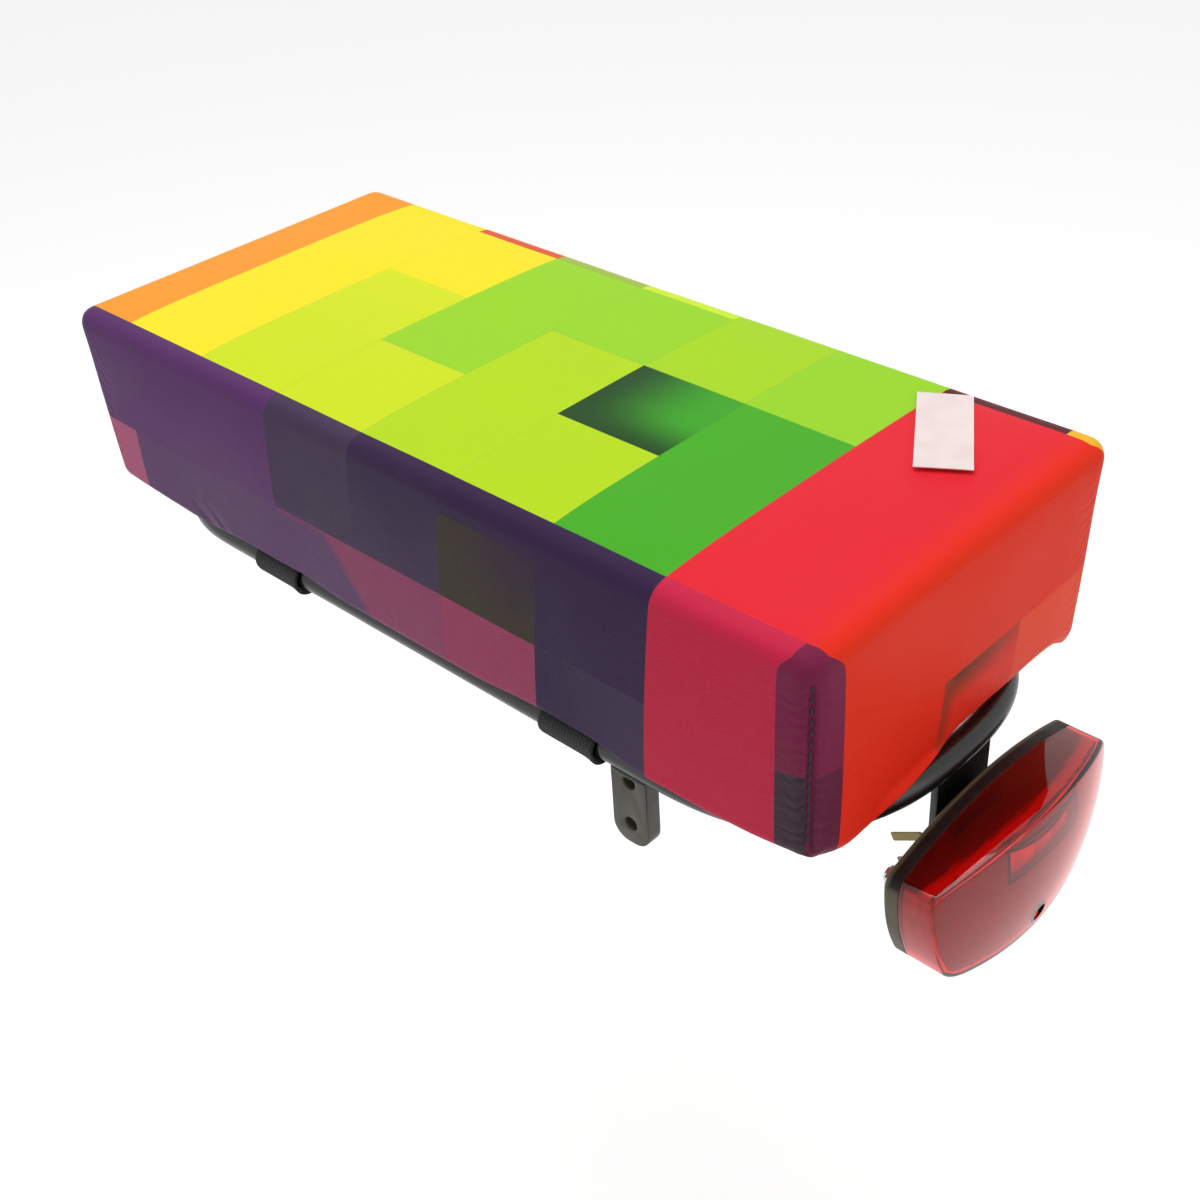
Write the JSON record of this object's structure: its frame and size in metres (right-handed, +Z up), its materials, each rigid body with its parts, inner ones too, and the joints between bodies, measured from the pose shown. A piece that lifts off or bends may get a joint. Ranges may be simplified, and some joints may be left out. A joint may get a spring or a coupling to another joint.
{
  "type": "bicycle rear rack seat cushion",
  "caption": "Upholstered foam seat block in colour-block cloth, strapped on a black tubular bicycle rack with stay tabs and a red tail light.",
  "frame": {"origin": "middle of the cushion's base board, on its underside", "axes": "+X to the tail light at the back of the bicycle, +Y to the bicycle's right, +Z up"},
  "size_m": [0.3942, 0.1554, 0.1367],
  "materials": {
    "printed_cloth": "satin coated cloth printed with large flat colour squares",
    "foam": "open-cell foam",
    "plywood": "raw plywood",
    "card": "blank coated card",
    "webbing": "woven black webbing",
    "hook_tape": "black hook tape",
    "black_paint": "glossy black paint",
    "tab_paint": "satin dark grey paint",
    "zinc": "zinc plated",
    "black_plastic": "satin black moulding",
    "red_lens": "polished clear red moulding",
    "reflector": "finely ribbed reflector",
    "optic": "faceted red optic",
    "diode": "diode under clear resin",
    "circuit": "green circuit board",
    "can": "dark sleeve",
    "brass": "stamped brass"
  },
  "bodies": {
    "root": {"cushion_cover": "printed_cloth", "foam_core": "foam", "base_board": "plywood", "blank_card": "card", "strap_front_left": "webbing", "strap_front_right": "webbing", "strap_rear_left": "webbing", "strap_rear_right": "webbing", "strap_pad_front_left": "hook_tape", "strap_pad_front_right": "hook_tape", "strap_pad_rear_left": "hook_tape", "strap_pad_rear_right": "hook_tape", "rack_loop": "black_paint", "cross_bar_front": "black_paint", "cross_bar_middle": "black_paint", "cross_bar_rear": "black_paint", "stay_tab_left": "tab_paint", "stay_tab_right": "tab_paint", "light_bracket": "black_paint", "light_stud_left": "zinc", "light_stud_right": "zinc", "stud_nut_left": "zinc", "stud_nut_right": "zinc", "stud_washer_left": "zinc", "stud_washer_right": "zinc", "light_housing": "black_plastic", "light_lens": "red_lens", "reflector_panel": "reflector", "led_optic": "optic", "led": "diode", "circuit_board": "circuit", "capacitor": "can", "terminal_signal": "brass", "terminal_ground": "brass", "lens_screw": "zinc"}
  },
  "joints": []
}
